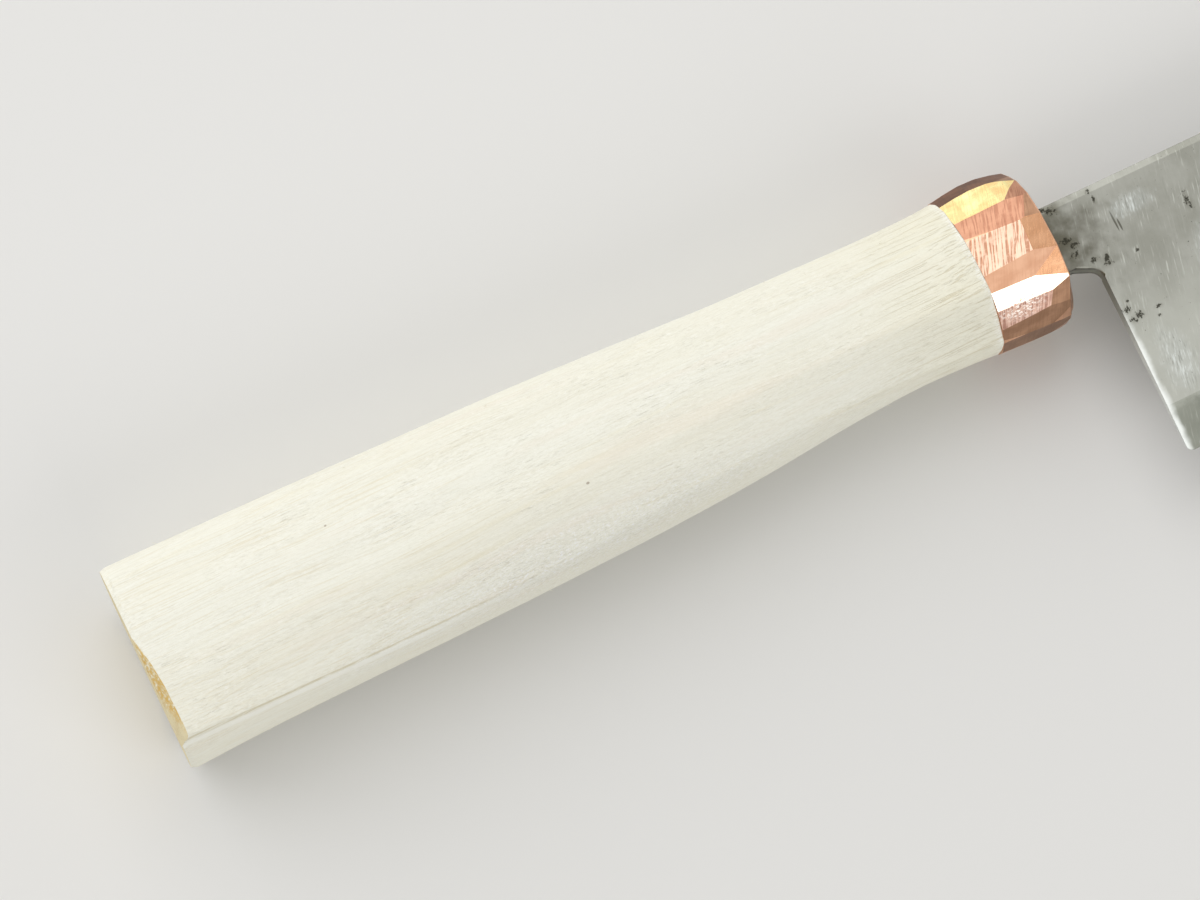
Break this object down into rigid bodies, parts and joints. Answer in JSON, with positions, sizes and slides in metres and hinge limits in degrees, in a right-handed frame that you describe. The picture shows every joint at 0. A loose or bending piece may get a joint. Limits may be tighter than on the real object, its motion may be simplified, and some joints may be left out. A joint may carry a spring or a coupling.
{
  "type": "nakiri knife",
  "caption": "Japanese vegetable knife with a laminated straight-edged blade, a hidden tang, a filed copper ferrule and a whittled pale wooden handle.",
  "frame": {"origin": "middle of the knife's base as it lies on its side, at the lowest point of the handle", "axes": "+X along the handle axis towards the blade's tip, +Y from the cutting edge up to the spine, +Z out of the side that is seen"},
  "size_m": [0.2978, 0.0484, 0.024],
  "materials": {
    "core_steel": "dull whetstone satin, darker than the cladding",
    "soft_iron": "old satin with fine scratches and small dark pits",
    "pale_wood": "bare, off the rasp, fine straight grain",
    "copper": "bare copper with bright file marks",
    "resin": "set clear resin, amber in the mass"
  },
  "bodies": {
    "root": {"blade_core": "core_steel", "cladding_seen": "soft_iron", "cladding_back": "soft_iron", "tang_bedding": "resin", "handle": "pale_wood", "ferrule": "copper"}
  },
  "joints": []
}
